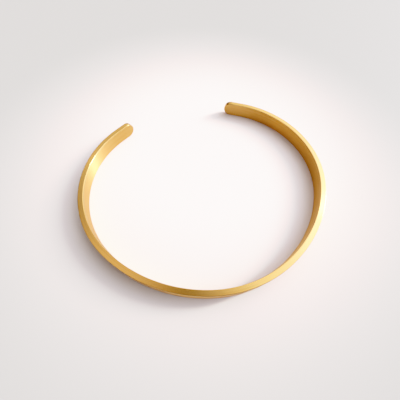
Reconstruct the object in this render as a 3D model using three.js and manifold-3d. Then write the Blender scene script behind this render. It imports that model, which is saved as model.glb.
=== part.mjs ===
// An open cuff bangle: one flat strip of metal with rounded ends and softly eased edges, bent
// into an oval that a wrist enters sideways through the gap.
//
// Millimetres, +Z up. The cuff lies on its lower edge, its closed back towards -Y and the gap
// between its ends towards +Y. The origin is under the middle of the box that it fits in.

import * as THREE from 'three';
import { mergeVertices } from 'three/addons/utils/BufferGeometryUtils.js';
import Module from 'manifold-3d';

// ---------------------------------------------------------------------------------------------
// Driving dimensions, in millimetres and degrees
// ---------------------------------------------------------------------------------------------

const STRIP_WIDTH = 4.0;
const STRIP_THICKNESS = 1.3;
const EDGE_RADIUS = 0.2;

// One half of the cuff, from the middle of its back round to an end: bends that run into each
// other, each with the radius of its inside face and the angle that it turns through.
const BENDS = [
  { where: 'back', insideRadius: 28.0, turn: 17 },
  { where: 'flank', insideRadius: 32.4, turn: 43.5 },
  { where: 'side', insideRadius: 23.8, turn: 88 },
];

// Past its last bend the strip runs straight up to the centre of its rounded end.
const END_STRAIGHT = 3.0;
const END_RADIUS = STRIP_WIDTH / 2;

// How finely the curves are faceted.
const STEPS_ALONG_STRIP = 144;
const STEPS_PER_EDGE = 2;
const STEPS_ROUND_END = 48;

// ---------------------------------------------------------------------------------------------
// The line that the strip follows, midway through its thickness
// ---------------------------------------------------------------------------------------------

const toMidline = STRIP_THICKNESS / 2;

const bentLength = BENDS.reduce(
  (sum, bend) => sum + (bend.insideRadius + toMidline) * THREE.MathUtils.degToRad(bend.turn),
  0,
);

const halfLength = bentLength + END_STRAIGHT;

// Where the midline is, and which way it heads, at a distance from the middle of the back.
function followHalf(distance) {
  let x = 0;
  let y = 0;
  let heading = 0;
  let remaining = distance;
  for (const bend of BENDS) {
    const radius = bend.insideRadius + toMidline;
    const turned = Math.min(remaining / radius, THREE.MathUtils.degToRad(bend.turn));
    x += radius * (Math.sin(heading + turned) - Math.sin(heading));
    y += radius * (Math.cos(heading) - Math.cos(heading + turned));
    heading += turned;
    remaining -= radius * turned;
  }
  x += remaining * Math.cos(heading);
  y += remaining * Math.sin(heading);
  return { x, y, heading };
}

// The whole midline, from the end at -X, past the back, to the end at +X.
class StripMidline extends THREE.Curve {
  getPoint(t, target = new THREE.Vector3()) {
    const fromBack = (2 * t - 1) * halfLength;
    const { x, y } = followHalf(Math.abs(fromBack));
    return target.set(Math.sign(fromBack) * x, y, STRIP_WIDTH / 2);
  }
}

// ---------------------------------------------------------------------------------------------
// The solids that the strip is made of
// ---------------------------------------------------------------------------------------------

// The strip cut across: a rectangle whose four corners are eased.
function stripSection() {
  const straightX = STRIP_WIDTH / 2 - EDGE_RADIUS;
  const straightY = STRIP_THICKNESS / 2 - EDGE_RADIUS;
  const quarter = Math.PI / 2;
  const section = new THREE.Shape();
  section.moveTo(straightX + EDGE_RADIUS, -straightY);
  section.absarc(straightX, straightY, EDGE_RADIUS, 0, quarter);
  section.absarc(-straightX, straightY, EDGE_RADIUS, quarter, 2 * quarter);
  section.absarc(-straightX, -straightY, EDGE_RADIUS, 2 * quarter, 3 * quarter);
  section.absarc(straightX, -straightY, EDGE_RADIUS, 3 * quarter, 4 * quarter);
  return section;
}

function bentStrip() {
  return new THREE.ExtrudeGeometry(stripSection(), {
    extrudePath: new StripMidline(),
    steps: STEPS_ALONG_STRIP,
    curveSegments: STEPS_PER_EDGE / 2, // an arc takes two steps for each of these
    bevelEnabled: false,
  });
}

// A disc as thick as the strip and as wide, with the same eased edges. Half of it stands past
// the end of the bent strip and rounds it off. Its axis points out of the cuff.
function roundEnd(side) {
  const flat = END_RADIUS - EDGE_RADIUS;
  const halfWall = STRIP_THICKNESS / 2 - EDGE_RADIUS;
  const profile = [new THREE.Vector2(0, -STRIP_THICKNESS / 2)];
  for (let step = 0; step <= STEPS_PER_EDGE; step += 1) {
    const angle = (Math.PI / 2) * (step / STEPS_PER_EDGE - 1);
    profile.push(new THREE.Vector2(
      flat + EDGE_RADIUS * Math.cos(angle),
      -halfWall + EDGE_RADIUS * Math.sin(angle),
    ));
  }
  for (let step = 0; step <= STEPS_PER_EDGE; step += 1) {
    const angle = (Math.PI / 2) * (step / STEPS_PER_EDGE);
    profile.push(new THREE.Vector2(
      flat + EDGE_RADIUS * Math.cos(angle),
      halfWall + EDGE_RADIUS * Math.sin(angle),
    ));
  }
  profile.push(new THREE.Vector2(0, STRIP_THICKNESS / 2));
  const disc = new THREE.LatheGeometry(profile, STEPS_ROUND_END);

  const { x, y, heading } = followHalf(halfLength);
  const along = new THREE.Vector3(side * Math.cos(heading), Math.sin(heading), 0);
  const outward = new THREE.Vector3(side * Math.sin(heading), -Math.cos(heading), 0);
  const across = new THREE.Vector3().crossVectors(along, outward);
  const place = new THREE.Matrix4().makeBasis(along, outward, across);
  place.setPosition(side * x, y, STRIP_WIDTH / 2);
  return disc.applyMatrix4(place);
}

// ---------------------------------------------------------------------------------------------
// Joining them into one piece of metal
// ---------------------------------------------------------------------------------------------

const wasm = await Module();
wasm.setup();

function toSolid(geometry) {
  const shell = geometry.clone();
  shell.deleteAttribute('normal');
  shell.deleteAttribute('uv');
  const merged = mergeVertices(shell, 1e-4);
  return new wasm.Manifold(new wasm.Mesh({
    numProp: 3,
    vertProperties: merged.attributes.position.array,
    triVerts: Uint32Array.from(merged.index.array),
  }));
}

function toGeometry(solid) {
  const mesh = solid.getMesh();
  const geometry = new THREE.BufferGeometry();
  geometry.setAttribute('position', new THREE.BufferAttribute(mesh.vertProperties, 3));
  geometry.setIndex(new THREE.BufferAttribute(mesh.triVerts, 1));
  geometry.computeVertexNormals();
  return geometry;
}

function cuffBand() {
  const solid = toSolid(bentStrip())
    .add(toSolid(roundEnd(-1)))
    .add(toSolid(roundEnd(1)));
  const geometry = toGeometry(solid);
  geometry.computeBoundingBox();
  const middle = geometry.boundingBox.getCenter(new THREE.Vector3());
  return geometry.translate(0, -middle.y, 0);
}

const satinGold = new THREE.MeshStandardMaterial({
  color: 0xdcaa55,
  metalness: 1.0,
  roughness: 0.35,
});

const bangle = new THREE.Group();
const band = new THREE.Mesh(cuffBand(), satinGold);
band.name = 'cuff_band';
bangle.add(band);

export default bangle;
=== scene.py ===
# %% [markdown]
# # An open cuff bangle in satin gold
#
# The real bangle is one strip of metal: cut to length, its ends rounded, its edges eased, then bent
# into an open oval. The lesson makes it in that order. Work flat first, because rounding and easing
# are simple on a flat strip and hard on a bent one. Sizes are in metres, +Z is up, and the cuff lies
# on its lower edge with its closed back towards -Y.

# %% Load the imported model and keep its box
import math

import bmesh
import bpy
from mathutils import Matrix, Vector


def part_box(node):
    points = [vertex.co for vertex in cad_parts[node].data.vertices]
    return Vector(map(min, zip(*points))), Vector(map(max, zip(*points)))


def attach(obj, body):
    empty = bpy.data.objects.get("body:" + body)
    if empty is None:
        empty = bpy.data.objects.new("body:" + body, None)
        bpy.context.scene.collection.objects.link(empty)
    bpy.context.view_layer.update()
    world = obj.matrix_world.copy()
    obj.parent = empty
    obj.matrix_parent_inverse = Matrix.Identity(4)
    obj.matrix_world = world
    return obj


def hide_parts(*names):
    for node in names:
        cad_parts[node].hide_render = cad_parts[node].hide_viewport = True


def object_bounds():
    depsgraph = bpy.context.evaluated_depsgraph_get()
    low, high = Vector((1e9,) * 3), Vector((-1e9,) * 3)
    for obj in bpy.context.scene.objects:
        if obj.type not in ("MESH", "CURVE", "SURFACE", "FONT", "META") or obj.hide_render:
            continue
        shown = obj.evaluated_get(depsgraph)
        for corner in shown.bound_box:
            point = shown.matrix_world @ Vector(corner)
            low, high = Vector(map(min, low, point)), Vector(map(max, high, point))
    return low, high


METRES_TO_MM = 1000.0
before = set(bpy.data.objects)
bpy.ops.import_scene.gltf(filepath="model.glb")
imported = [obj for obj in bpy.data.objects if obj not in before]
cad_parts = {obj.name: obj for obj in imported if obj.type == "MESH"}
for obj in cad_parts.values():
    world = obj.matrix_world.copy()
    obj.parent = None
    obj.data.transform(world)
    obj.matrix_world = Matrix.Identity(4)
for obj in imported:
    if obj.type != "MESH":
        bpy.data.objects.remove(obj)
cad_low, cad_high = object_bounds()
print("CAD box, mm:", [round(METRES_TO_MM * side, 2) for side in cad_high - cad_low])

# %% [markdown]
# The camera comes first, so that every later step can be judged through it. It stands close over the
# front left of the cuff with a wide lens, which makes the near band look bolder than the far ends.
# A camera looks along its own -Z, so that axis is turned towards what it sees, with its Y as the
# top. A Track To constraint would aim it too, but not lean it. Turning it about its own Z last
# gives the slight tilt of a camera held by hand.

# %% Camera
CAMERA_AIM = Vector((-0.00308, -0.00244, 0.0))
CAMERA_DISTANCE = 0.05845
CAMERA_AZIMUTH = math.radians(-22.18)
CAMERA_ELEVATION = math.radians(61.72)
CAMERA_ROLL = math.radians(3.91)
CAMERA_LENS = 20.37
CAMERA_NEAREST = 0.001


def outward_direction(azimuth, elevation):
    """A unit vector from the object towards someone at that azimuth, where 0 is -Y, and elevation."""
    level = math.cos(elevation)
    return Vector((math.sin(azimuth) * level, -math.cos(azimuth) * level, math.sin(elevation)))


def look_along(direction):
    """The rotation of a camera or lamp that faces along a direction, with its top towards +Z."""
    return direction.to_track_quat("-Z", "Y").to_matrix().to_4x4()


def add_object(name, data):
    """A new object in the scene, at the origin and unturned."""
    added = bpy.data.objects.new(name, data)
    bpy.context.scene.collection.objects.link(added)
    return added


camera_back = outward_direction(CAMERA_AZIMUTH, CAMERA_ELEVATION)
camera_place = Matrix.Translation(CAMERA_AIM + camera_back * CAMERA_DISTANCE)
camera_data = bpy.data.cameras.new("camera")
camera_data.lens = CAMERA_LENS
camera_data.clip_start = CAMERA_NEAREST
camera = add_object("camera", camera_data)
camera.matrix_world = camera_place @ look_along(-camera_back) @ Matrix.Rotation(CAMERA_ROLL, 4, "Z")
bpy.context.scene.camera = camera
print("camera at, mm:", [round(METRES_TO_MM * place, 1) for place in camera.location])

# %% [markdown]
# The strip follows a line: a few bends that run into each other, the same on both sides of the back,
# then a short straight stretch at each end. One function gives the place and the heading at any
# distance along it. A spline could be drawn instead, but bends with a radius and an angle are what
# a bending mandrel gives, and their joins are smooth without any handles to adjust.

# %% The line that the strip follows
STRIP_THICKNESS = 0.0013
POLISHED_OFF = 0.000006  # what the wheel takes from the thickness
FILED_OFF = 0.00006  # what the file takes from each end
EDGE_RADIUS = 0.00013
END_STRAIGHT = 0.0030
BENDS = (  # radius of the inside face, and the angle turned, from the middle of the back to an end
    {"where": "back", "inside_radius": 0.0280, "turn": math.radians(17.0)},
    {"where": "flank", "inside_radius": 0.0324, "turn": math.radians(43.5)},
    {"where": "side", "inside_radius": 0.0238, "turn": math.radians(88.0)},
)
band_low, band_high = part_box("cuff_band")
strip_width = band_high.z - band_low.z
end_radius = strip_width / 2
to_midline = STRIP_THICKNESS / 2
bent_length = sum((bend["inside_radius"] + to_midline) * bend["turn"] for bend in BENDS)
half_length = bent_length + END_STRAIGHT + end_radius - FILED_OFF


def follow_half(distance):
    """Where the strip's midline is, and its heading, at a distance from the middle of the back."""
    x = y = heading = 0.0
    for bend in BENDS:
        radius = bend["inside_radius"] + to_midline
        turned = min(distance / radius, bend["turn"])
        x += radius * (math.sin(heading + turned) - math.sin(heading))
        y += radius * (math.cos(heading) - math.cos(heading + turned))
        heading += turned
        distance -= radius * turned
    return x + distance * math.cos(heading), y + distance * math.sin(heading), heading


print(f"strip {2 * half_length * METRES_TO_MM:.1f} mm long, {strip_width * METRES_TO_MM:.1f} mm wide")
print("bends on each side:", ", ".join(bend["where"] for bend in BENDS))

# %% [markdown]
# The blank is a flat strip that stands on its edge: X runs along it, Y goes through its thickness
# towards the outside of the cuff, and Z across its width. A box is enough to start from. Four of its
# edges run through the thickness, one at each corner of the strip. Beveling them by half the width
# rounds each end into a half circle, just as a file rounds the corners of a cut strip until they
# meet.

# %% A flat strip with rounded ends
END_SEGMENTS = 20
ROUND_PROFILE = 0.5
MERGE_DISTANCE = 1e-6
blank = bmesh.new()


def round_off(mesh, edges, radius, segments):
    """Bevel those edges of a mesh into rounds of that radius."""
    bmesh.ops.bevel(
        mesh, geom=edges, offset=radius, offset_type="OFFSET", segments=segments,
        profile=ROUND_PROFILE, affect="EDGES", material=-1, clamp_overlap=False,
    )


bmesh.ops.create_cube(blank, size=1.0)
polished_thickness = STRIP_THICKNESS - POLISHED_OFF
bmesh.ops.scale(blank, vec=(2 * half_length, polished_thickness, strip_width), verts=blank.verts)
corner_edges = [
    edge for edge in blank.edges
    if abs(edge.verts[0].co.y - edge.verts[1].co.y) > MERGE_DISTANCE
]
round_off(blank, corner_edges, end_radius, END_SEGMENTS)
bmesh.ops.remove_doubles(blank, verts=blank.verts, dist=MERGE_DISTANCE)
bmesh.ops.dissolve_degenerate(blank, edges=blank.edges, dist=MERGE_DISTANCE)
print("flat strip:", len(blank.faces), "faces")

# %% [markdown]
# A maker breaks the sharp edges with a fine file and then a polishing wheel, which leaves a small
# round along both faces and round the ends. One bevel does it: its edges are those of the two wide
# faces. The thin insets that follow are holding loops. Smooth shading blends the normals of faces
# that meet, and a loop close to the eased edge keeps that blend out of the flats.

# %% Eased edges and holding loops
EDGE_SEGMENTS = 5
HOLD_WIDTH = 0.00004
SQUARE_TO_Y = 0.001  # the most of Y that is left in a normal at right angles to it
ALONG_Y = 1 - SQUARE_TO_Y


def wide_faces(mesh):
    """The two faces of the strip that will be the inside and the outside of the cuff."""
    return [face for face in mesh.faces if abs(face.normal.y) > ALONG_Y]


def rim_faces(mesh):
    """The flats between the eased edges, all round the strip."""
    return [face for face in mesh.faces if abs(face.normal.y) < SQUARE_TO_Y]


def hold(mesh, faces):
    """Cut a thin loop just inside the border of those faces."""
    bmesh.ops.inset_region(mesh, faces=faces, thickness=HOLD_WIDTH, use_even_offset=True)


blank.normal_update()
sharp_edges = [edge for face in wide_faces(blank) for edge in face.edges]
round_off(blank, sharp_edges, EDGE_RADIUS, EDGE_SEGMENTS)
blank.normal_update()
hold(blank, wide_faces(blank))
hold(blank, rim_faces(blank))
print("eased strip:", len(blank.faces), "faces")

# %% [markdown]
# A mesh bends only where it has vertices, so the strip is cut across at even steps, from the centre
# of one rounded end to the centre of the other. The rounded ends themselves stay flat, as the ends
# of a real cuff do, because a mandrel can't reach the last few millimetres.

# %% Cuts across the strip
CUTS = 360
cut_reach = half_length - end_radius
for cut in range(CUTS + 1):
    at = cut_reach * (2 * cut / CUTS - 1)
    everything = blank.verts[:] + blank.edges[:] + blank.faces[:]
    bmesh.ops.bisect_plane(
        blank, geom=everything, dist=MERGE_DISTANCE, plane_co=(at, 0, 0), plane_no=(1, 0, 0)
    )
cut_step = 2 * cut_reach / CUTS
print(f"cut strip: {len(blank.faces)} faces, a cut every {cut_step * METRES_TO_MM:.2f} mm")

# %% [markdown]
# The finish has to know where it is on the strip, because brushing runs along it and wear follows
# its edges. So each vertex keeps its flat place, in an attribute that bending doesn't change.

# %% Remember the flat place of every vertex
flat_place = blank.verts.layers.float_vector.new("flat_place")
for vert in blank.verts:
    vert[flat_place] = vert.co
print("flat places kept:", len(blank.verts))

# %% [markdown]
# Bending moves each vertex to the point of the line that it belongs to, and out from it by its place
# in the thickness. A Simple Deform modifier bends to one radius only, and this cuff has several.
# Y points towards the outside of the cuff, which is -Y at the back, so bending turns the strip inside
# out. The normals are recalculated, and a volume above zero shows that they point outwards again.

# %% Bend the strip round
for vert in blank.verts:
    x, y, heading = follow_half(abs(vert.co.x))
    side = math.copysign(1.0, vert.co.x)
    from_midline = vert.co.y
    vert.co = Vector((
        side * (x + from_midline * math.sin(heading)),
        y - from_midline * math.cos(heading),
        vert.co.z,
    ))
y_places = [vert.co.y for vert in blank.verts]
to_middle = (cad_low.y + cad_high.y - min(y_places) - max(y_places)) / 2
bmesh.ops.translate(blank, vec=(0, to_middle, band_low.z + end_radius), verts=blank.verts)
bmesh.ops.recalc_face_normals(blank, faces=blank.faces)
print(f"bent strip: {blank.calc_volume(signed=True) * METRES_TO_MM ** 3:.0f} cubic mm")

# %% [markdown]
# Brushed metal needs one more thing: the direction of its lines. A UV map gives it, in metres, with U
# along the lines and V across them. On the two wide faces the lines run along the strip, so U is the
# flat X and V the flat Z. On the rim they follow the belt that eased it, along the strip and round
# the end, so U is the length of the outline and V is the flat Y. An automatic unwrap would turn
# each island its own way, and the brushing would turn with it.

# %% Unwrap the strip for its brushing
grain_map = blank.loops.layers.uv.new("grain_map")
OUTSIDE_SHIFT = 0.010  # keeps the lines of the outside face apart from those of the inside


def along_outline(x, z):
    """The length along the strip's outline: straight first, then round the end."""
    past = abs(x) - cut_reach
    if past <= 0:
        return x
    return math.copysign(cut_reach + end_radius * math.atan2(past, abs(z)), x)


wide_count = 0
for face in blank.faces:
    outwards = [vert[flat_place].y for vert in face.verts]
    is_wide = min(abs(y) for y in outwards) > polished_thickness / 2 - MERGE_DISTANCE
    wide_count += is_wide
    for loop in face.loops:
        x, y, z = loop.vert[flat_place]
        if is_wide:
            loop[grain_map].uv = (x, z + (OUTSIDE_SHIFT if y > 0 else 0.0))
        else:
            loop[grain_map].uv = (along_outline(x, z), y)
print("unwrapped faces:", wide_count, "wide,", len(blank.faces) - wide_count, "on the rim")

# %% [markdown]
# The strip is now a finished cuff, so it becomes an object. It stands in its place and rides on the
# same body, because two bands in one place would fight.

# %% The finished band, in the place of the plain one
for face in blank.faces:
    face.smooth = True
band_mesh = bpy.data.meshes.new("satin_cuff")
blank.to_mesh(band_mesh)
blank.free()
satin_cuff = add_object("satin_cuff", band_mesh)
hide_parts("cuff_band")
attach(satin_cuff, "root")
print("triangles:", sum(len(face.vertices) - 2 for face in band_mesh.polygons))

# %% [markdown]
# Every finish here is made of nodes, so a few small helpers keep the cells short. The first adds a
# node with its settings and inputs by name: an input is a plain value or another node's output.
# The rest do sums on values and on vectors, carry a value smoothly from one range to another, and
# tint a colour. Clicking the nodes together in the editor would give the same tree, but a file
# shows how it was done.

# %% Helpers for nodes
def add_node(tree, kind, settings, inputs):
    """A new node of that kind, with its settings and its inputs filled in."""
    node = tree.nodes.new("ShaderNode" + kind)
    for name, value in settings.items():
        setattr(node, name, value)
    for name, value in inputs.items():
        if isinstance(value, bpy.types.NodeSocket):
            tree.links.new(value, node.inputs[name])
        else:
            node.inputs[name].default_value = value
    return node


def add_sum(tree, operation, first, second=0.0, third=0.0):
    """The result of a Math node on one, two or three values."""
    return add_node(tree, "Math", {"operation": operation}, {0: first, 1: second, 2: third}).outputs[0]


def add_vector_sum(tree, operation, first, second=(0.0, 0.0, 0.0), result="Vector"):
    """The result of a Vector Math node: a vector, or a value for an operation that gives one."""
    return add_node(tree, "VectorMath", {"operation": operation}, {0: first, 1: second}).outputs[result]


def add_range(tree, value, from_low, from_high, to_low, to_high):
    """A value carried smoothly from one range to another, and held at the ends."""
    inputs = {
        "Value": value, "From Min": from_low, "From Max": from_high, "To Min": to_low, "To Max": to_high
    }
    return add_node(tree, "MapRange", {"interpolation_type": "SMOOTHSTEP"}, inputs).outputs["Result"]


def add_tint(tree, base, tint, share):
    """The base colour carried towards a tint by a share from 0 to 1."""
    inputs = {"Factor": share, "A": base, "B": tint}
    return add_node(tree, "Mix", {"data_type": "RGBA"}, inputs).outputs["Result"]


# %% [markdown]
# The cuff is brass under a satin gold plating. Gold is a metal, so its colour is the colour of its
# reflections. The surface was drawn along a fine abrasive belt, which leaves lines too thin to see
# one by one. They spread a reflection across the strip and hardly along it. Modelling the lines
# would take millions of faces, so the shader's anisotropy does it, and the Tangent node tells it
# which way the lines run.

# %% Satin gold: the metal and the direction of its lines
BRUSHING = 1.0
QUARTER_TURN = 0.25  # without it the shine would run along the lines, not across them
gold = bpy.data.materials.new("satin_gold")
gold.use_nodes = True
gold_tree = gold.node_tree
gold_shader = gold_tree.nodes["Principled BSDF"]
gold_shader.inputs["Metallic"].default_value = 1.0
gold_shader.inputs["Anisotropic"].default_value = BRUSHING
gold_shader.inputs["Anisotropic Rotation"].default_value = QUARTER_TURN
line_direction = add_node(gold_tree, "Tangent", {"direction_type": "UV_MAP", "uv_map": "grain_map"}, {})
gold_tree.links.new(line_direction.outputs["Tangent"], gold_shader.inputs["Tangent"])
band_mesh.materials.append(gold)
print("satin gold: brushed along", line_direction.uv_map)

# %% [markdown]
# Two patterns of lines follow the map: fine ones, as from the last grit, and broad ones left by the
# grit before it. Each is a noise that is stretched along the lines by scaling its place unevenly.
# A Wave texture would give lines as well, but too regular ones.

# %% Satin gold: the brush lines
LINE_CRISPNESS = 0.55  # how much of each finer layer of noise shows
grain_place = add_node(gold_tree, "UVMap", {"uv_map": "grain_map"}, {}).outputs["UV"]


def add_lines(length, width, detail):
    """Noise drawn out into lines of about that length and width, in millimetres."""
    stretch = (METRES_TO_MM / length, METRES_TO_MM / width, 1.0)
    stretched = add_vector_sum(gold_tree, "MULTIPLY", grain_place, stretch)
    inputs = {"Vector": stretched, "Scale": 1.0, "Detail": detail, "Roughness": LINE_CRISPNESS}
    return add_node(gold_tree, "TexNoise", {"noise_dimensions": "2D"}, inputs).outputs["Fac"]


fine_lines = add_lines(length=9.0, width=0.07, detail=2.0)
broad_lines = add_lines(length=26.0, width=0.42, detail=3.0)
print("brush lines: two patterns")

# %% [markdown]
# Hands and tools leave larger patches: a wide face is never quite flat, and skin dulls the metal here
# and polishes it there. The smallest patches are specks, the pits that polishing leaves. These
# patterns have nothing to do with the lines, so they read Object coordinates, which on this piece
# are metres in the finished shape.

# %% Satin gold: waviness and handling
PATCH_CRISPNESS = 0.5
body_place = add_node(gold_tree, "TexCoord", {}, {}).outputs["Object"]


def add_patches(size, detail):
    """Noise in soft patches of about that size, in millimetres."""
    inputs = {
        "Vector": body_place, "Scale": METRES_TO_MM / size, "Detail": detail, "Roughness": PATCH_CRISPNESS
    }
    return add_node(gold_tree, "TexNoise", {"noise_dimensions": "3D"}, inputs).outputs["Fac"]


waviness = add_patches(size=7.0, detail=1.0)
handling = add_patches(size=5.0, detail=3.0)
specks = add_patches(size=0.35, detail=2.0)
print("patches: waviness, handling and specks")

# %% [markdown]
# Wear belongs to the eased edges, so the finish needs to know how near an edge is. Two measures of the
# flat place say it: how far out a point is in the thickness, and how far from the middle line of
# the width, where a rounded end counts from the centre of its half circle. An edge is where both
# are large, so the smaller of the two marks it. The Pointiness of a Geometry node finds edges too,
# but it depends on how the mesh is cut, and it can't be set in millimetres.

# %% Satin gold: where the rim and the edges are
RIM_FINISH_ENDS = 0.3 * EDGE_RADIUS  # this and the next three are counted from where the round starts
FACE_FINISH_STARTS = 0.95 * EDGE_RADIUS
WEAR_STARTS = -0.1 * EDGE_RADIUS
WEAR_FULL = 0.6 * EDGE_RADIUS
WEAR_WANDER = 0.8 * EDGE_RADIUS  # how far handling moves the wear, from one extreme to the other
flat_position = add_node(gold_tree, "Attribute", {"attribute_name": "flat_place"}, {}).outputs["Vector"]
flat_size = add_vector_sum(gold_tree, "ABSOLUTE", flat_position)
past_end = add_vector_sum(gold_tree, "SUBTRACT", flat_size, (cut_reach, 0.0, 0.0))
past_parts = add_node(gold_tree, "SeparateXYZ", {}, {"Vector": past_end}).outputs
past_x = add_sum(gold_tree, "MAXIMUM", past_parts["X"], 0.0)
x_squared = add_sum(gold_tree, "MULTIPLY", past_x, past_x)
z_squared = add_sum(gold_tree, "MULTIPLY", past_parts["Z"], past_parts["Z"])
from_middle = add_sum(gold_tree, "SQRT", add_sum(gold_tree, "ADD", x_squared, z_squared))
into_rim = add_sum(gold_tree, "SUBTRACT", from_middle, end_radius - EDGE_RADIUS)
into_face = add_sum(gold_tree, "SUBTRACT", past_parts["Y"], to_midline - EDGE_RADIUS)
wide_share = add_range(gold_tree, into_face, RIM_FINISH_ENDS, FACE_FINISH_STARTS, 0.0, 1.0)
on_edge = add_sum(gold_tree, "MINIMUM", into_rim, into_face)
wander = add_sum(gold_tree, "MULTIPLY_ADD", handling, WEAR_WANDER, -WEAR_WANDER / 2)
wear_place = add_sum(gold_tree, "ADD", on_edge, wander)
worn_share = add_range(gold_tree, wear_place, WEAR_STARTS, WEAR_FULL, 0.0, 1.0)
print("wear is full from", round(WEAR_FULL * METRES_TO_MM, 3), "mm into the round of an edge")

# %% [markdown]
# The wide faces are satin, and the rim is closer to a polish, because it was run over a finer belt.
# Skin and cloth have burnished the edges nearly as smooth as the rim. The lines and the handled
# patches then move all of it a little up and down, each as a factor that wanders round one.

# %% Satin gold: roughness
FACE_ROUGHNESS = 0.36
RIM_ROUGHNESS = 0.20
WORN_ROUGHNESS = 0.24
LINE_CHANGE = 0.16
HANDLED_CHANGE = 0.10
belt_finish = add_range(gold_tree, wide_share, 0.0, 1.0, RIM_ROUGHNESS, FACE_ROUGHNESS)
roughness = add_node(
    gold_tree, "Mix", {"data_type": "FLOAT"}, {"Factor": worn_share, "A": belt_finish, "B": WORN_ROUGHNESS}
).outputs["Result"]
for pattern, change in ((broad_lines, LINE_CHANGE), (handling, HANDLED_CHANGE)):
    factor_inputs = {"Value": pattern, "To Min": 1 - change, "To Max": 1 + change}
    factor = add_node(gold_tree, "MapRange", {}, factor_inputs).outputs["Result"]
    roughness = add_sum(gold_tree, "MULTIPLY", roughness, factor)
gold_tree.links.new(roughness, gold_shader.inputs["Roughness"])
print("roughness: faces", FACE_ROUGHNESS, "rim", RIM_ROUGHNESS, "worn edges", WORN_ROUGHNESS)

# %% [markdown]
# The colour is nearly even. Lines catch a deeper gold, handled patches are a touch redder, and the
# plating is thinnest on the worn edges, where pale brass shows through. Each is a tint laid over
# the last, and its share grows with its pattern. A colour ramp on one pattern would be shorter,
# but then all the changes would come in the same places.

# %% Satin gold: colour
GOLD = (0.622, 0.310, 0.084, 1.0)
DEEP_GOLD = (0.570, 0.268, 0.062, 1.0)
RED_GOLD = (0.626, 0.292, 0.076, 1.0)
PALE_BRASS = (0.652, 0.375, 0.132, 1.0)
TINTS = (  # the pattern, where its tint starts and where it is full, and the tint's greatest share
    {"pattern": broad_lines, "colour": DEEP_GOLD, "starts": 0.50, "full": 0.72, "most": 0.8},
    {"pattern": fine_lines, "colour": DEEP_GOLD, "starts": 0.45, "full": 0.75, "most": 0.4},
    {"pattern": handling, "colour": RED_GOLD, "starts": 0.45, "full": 0.70, "most": 0.8},
)
WORN_THROUGH = 0.6
metal_colour = GOLD
for tint in TINTS:
    tint_share = add_range(gold_tree, tint["pattern"], tint["starts"], tint["full"], 0.0, tint["most"])
    metal_colour = add_tint(gold_tree, metal_colour, tint["colour"], tint_share)
brass_share = add_sum(gold_tree, "MULTIPLY", worn_share, WORN_THROUGH)
metal_colour = add_tint(gold_tree, metal_colour, PALE_BRASS, brass_share)
gold_tree.links.new(metal_colour, gold_shader.inputs["Base Color"])
print("tints over the gold:", len(TINTS) + 1)

# %% [markdown]
# The same patterns raise the surface, the waviness by up to two hundredths of a millimetre, and the
# lines and specks by one or two thousandths. Displacement could move real faces, but relief this
# low is only seen in how the light breaks, so a Bump node does it. The heights are in metres, so
# its distance is 1.

# %% Satin gold: relief
WAVE_HEIGHT = 0.000020
BROAD_LINE_HEIGHT = 0.0000024
FINE_LINE_HEIGHT = 0.0000010
SPECK_HEIGHT = 0.0000006
relief = add_sum(gold_tree, "MULTIPLY", waviness, WAVE_HEIGHT)
for pattern, height in (
    (broad_lines, BROAD_LINE_HEIGHT), (fine_lines, FINE_LINE_HEIGHT), (specks, SPECK_HEIGHT)
):
    raised = add_sum(gold_tree, "MULTIPLY", pattern, height)
    relief = add_sum(gold_tree, "ADD", relief, raised)
bump = add_node(gold_tree, "Bump", {}, {"Height": relief, "Distance": 1.0, "Strength": 1.0})
gold_tree.links.new(bump.outputs["Normal"], gold_shader.inputs["Normal"])
print("satin gold:", len(gold_tree.nodes), "nodes")

# %% [markdown]
# The cuff lies on a plain pale board. It is a single plane, a hair below the cuff so that the two
# surfaces don't fight, and large enough to reach the horizon of a low camera. A thick slab would
# look no different, because its sides are out of sight.

# %% The floor
FLOOR_REACH = 2.0
FLOOR_GAP = 0.00001
floor_mesh = bmesh.new()
bmesh.ops.create_grid(floor_mesh, x_segments=1, y_segments=1, size=FLOOR_REACH)
bmesh.ops.translate(floor_mesh, vec=(0, 0, band_low.z - FLOOR_GAP), verts=floor_mesh.verts)
floor_data = bpy.data.meshes.new("floor")
floor_mesh.to_mesh(floor_data)
floor_mesh.free()
floor = add_object("floor", floor_data)
print("floor:", 2 * FLOOR_REACH, "m wide")

# %% [markdown]
# The board is nearly matt. Its colour holds a painted pool of light: warm white under the cuff,
# turning to a painted shade of grey further out, so the eye stays in the middle. A small lamp close
# by would make the same pool of light, but it would also show in the metal.

# %% The floor's paint, with a painted pool of light
# the floor's colour inside the painted pool of light, and the painted shade that it turns to further out
FLOOR_PAINTED_POOL_LIGHT = (0.857, 0.730, 0.660, 1.0)
FLOOR_PAINTED_FALLOFF_SHADE = (0.420, 0.400, 0.362, 1.0)
FLOOR_ROUGHNESS = 0.6
FLOOR_GLOSS = 0.1
LIGHT_POOL_CENTRE = (0.005, 0.013, 0.0)
LIGHT_POOL_FULL = 0.018
LIGHT_POOL_ENDS = 0.072
floor_paint = bpy.data.materials.new("pale_floor")
floor_paint.use_nodes = True
floor_tree = floor_paint.node_tree
floor_shader = floor_tree.nodes["Principled BSDF"]
floor_place = add_node(floor_tree, "TexCoord", {}, {}).outputs["Object"]
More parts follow.
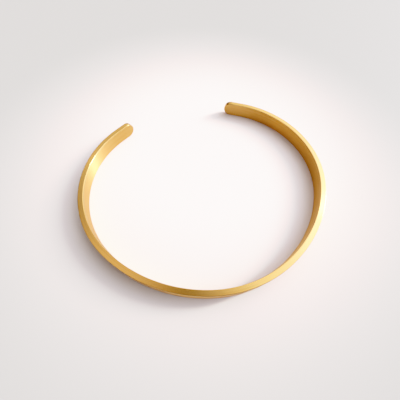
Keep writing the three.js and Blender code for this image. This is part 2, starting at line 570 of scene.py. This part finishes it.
# painted pool of light: the floor darkens to grey with distance from the pool's centre
from_light_pool = add_vector_sum(floor_tree, "DISTANCE", floor_place, LIGHT_POOL_CENTRE, result="Value")
painted_falloff_share = add_range(floor_tree, from_light_pool, LIGHT_POOL_FULL, LIGHT_POOL_ENDS, 0.0, 1.0)
floor_colour_with_painted_light = add_tint(floor_tree, FLOOR_PAINTED_POOL_LIGHT, FLOOR_PAINTED_FALLOFF_SHADE, painted_falloff_share)
floor_tree.links.new(floor_colour_with_painted_light, floor_shader.inputs["Base Color"])
floor_shader.inputs["Roughness"].default_value = FLOOR_ROUGHNESS
floor_shader.inputs["Specular IOR Level"].default_value = FLOOR_GLOSS
floor_data.materials.append(floor_paint)
print("floor paint: warm white turns grey from", LIGHT_POOL_FULL, "to", LIGHT_POOL_ENDS, "m out")

# %% [markdown]
# The light comes from one tall, narrow window on the right, a third of the way up the sky. A narrow
# light gives brushed metal its one bright bar, and a tall one makes a shadow that is dark beside
# the metal and fades outwards. A column of four sun lamps stands for it. An area lamp would be the
# usual choice, but suns light the whole floor evenly, and the angle of each makes it a disc.

# %% The window
WINDOW_AZIMUTH = math.radians(90.7)
WINDOW_ELEVATIONS = [math.radians(angle) for angle in (20.5, 25.9, 31.2, 36.5)]
PANE_SPREAD = math.radians(5.0)
PANE_RADIANCE = 262.0
PANE_COLOUR = (1.0, 0.955, 0.885)
PANE_DISTANCE = 0.5
for number, elevation in enumerate(WINDOW_ELEVATIONS):
    pane_data = bpy.data.lights.new(f"window_pane_{number}", "SUN")
    pane_data.angle = PANE_SPREAD
    pane_data.color = PANE_COLOUR
    pane_data.energy = PANE_RADIANCE * math.pi * math.sin(PANE_SPREAD / 2) ** 2
    pane = add_object(f"window_pane_{number}", pane_data)
    to_window = outward_direction(WINDOW_AZIMUTH, elevation)
    pane.matrix_world = Matrix.Translation(to_window * PANE_DISTANCE) @ look_along(-to_window)
print("window:", len(WINDOW_ELEVATIONS), "panes of", round(pane_data.energy, 2), "watts a square metre")

# %% [markdown]
# The rest of the light is the room. Metal shows what stands round it, so the room matters as much as
# the window: a thin curtain glows round the window, the far wall, the near wall and the left of the
# ceiling are bright, and the rest is dim. Modelled walls and lamps could give it, but the world's
# background paints it simply, in soft round patches, each with a direction, a part that is fully
# lit and an edge where it ends. The camera itself sees a plain pale backdrop, because a Light Path
# node tells its rays from the others.

# %% The room
# towards is an azimuth and an elevation, and lit and ends are half widths, all in degrees
ROOM_PATCHES = (
    {"name": "curtain", "towards": (95, 39), "lit": 3, "ends": 32, "light": (5.2, 5.5, 8.6)},
    {"name": "sheer", "towards": (94, 37), "lit": 29, "ends": 54, "light": (3.5, 3.5, 3.7)},
    {"name": "far wall", "towards": (171, 43), "lit": 11, "ends": 40, "light": (1.33, 1.33, 1.33)},
    {"name": "left ceiling", "towards": (244, 67), "lit": 3, "ends": 26, "light": (2.0, 1.7, 1.6)},
    {"name": "left wall", "towards": (266, 20), "lit": 8, "ends": 40, "light": (0.27, 0.27, 0.27)},
    {"name": "near wall", "towards": (333, 4), "lit": 3, "ends": 32, "light": (1.7, 1.95, 2.4)},
    {"name": "near ceiling", "towards": (12, 60), "lit": 8, "ends": 36, "light": (0.25, 0.25, 0.25)},
)
ROOM_SHADE = (0.04, 0.04, 0.04)
BACKDROP = (1.17, 1.12, 1.08, 1.0)
room = bpy.data.worlds.new("room")
room.use_nodes = True
bpy.context.scene.world = room
room_tree = room.node_tree
sky_place = add_node(room_tree, "TexCoord", {}, {}).outputs["Generated"]
room_light = ROOM_SHADE
for patch in ROOM_PATCHES:
    to_patch = outward_direction(*[math.radians(angle) for angle in patch["towards"]])
    nearness = add_vector_sum(room_tree, "DOT_PRODUCT", sky_place, to_patch, result="Value")
    off_centre = add_sum(room_tree, "ARCCOSINE", nearness)
    lit, ends = math.radians(patch["lit"]), math.radians(patch["ends"])
    lit_share = add_range(room_tree, off_centre, lit, ends, 1.0, 0.0)
    glow_inputs = {"Vector": patch["light"], "Scale": lit_share}
    glow = add_node(room_tree, "VectorMath", {"operation": "SCALE"}, glow_inputs).outputs["Vector"]
    room_light = add_vector_sum(room_tree, "ADD", glow, room_light)
seen_by_camera = add_node(room_tree, "LightPath", {}, {}).outputs["Is Camera Ray"]
room_colour = add_tint(room_tree, room_light, BACKDROP, seen_by_camera)
room_tree.links.new(room_colour, room_tree.nodes["Background"].inputs["Color"])
print("room:", ", ".join(patch["name"] for patch in ROOM_PATCHES))

# %% [markdown]
# The last choice is how light becomes colour. The Standard view clips bright metal to flat yellow, and
# AgX greys the gold. A film curve before the Standard view is the middle way: straight through the
# middle tones, with a toe that deepens the darkest gold and a long shoulder that lets the
# brightest run softly into white. Past its end the curve stays level. Left to run on, it would
# sink again, and the brightest glints would turn blue.

# %% The film
FILM_RANGE = 4.0
ALL_COLOURS = 3  # of the four curves, the one after red, green and blue
FILM_CURVE = (  # light in, light out
    (0.015, 0.002), (0.035, 0.012), (0.06, 0.052), (0.12, 0.124), (0.25, 0.271), (0.45, 0.436),
    (0.7, 0.589), (1.0, 0.725), (1.4, 0.835), (1.9, 0.950), (2.6, 0.988),
)
view = bpy.context.scene.view_settings
view.view_transform = "Standard"
view.use_curve_mapping = True
film = view.curve_mapping
film.white_level = (FILM_RANGE, FILM_RANGE, FILM_RANGE)
film.extend = "HORIZONTAL"
film_points = film.curves[ALL_COLOURS].points
for light_in, light_out in FILM_CURVE:
    film_points.new(light_in / FILM_RANGE, light_out)
film.update()
print("film curve:", len(film_points), "points")
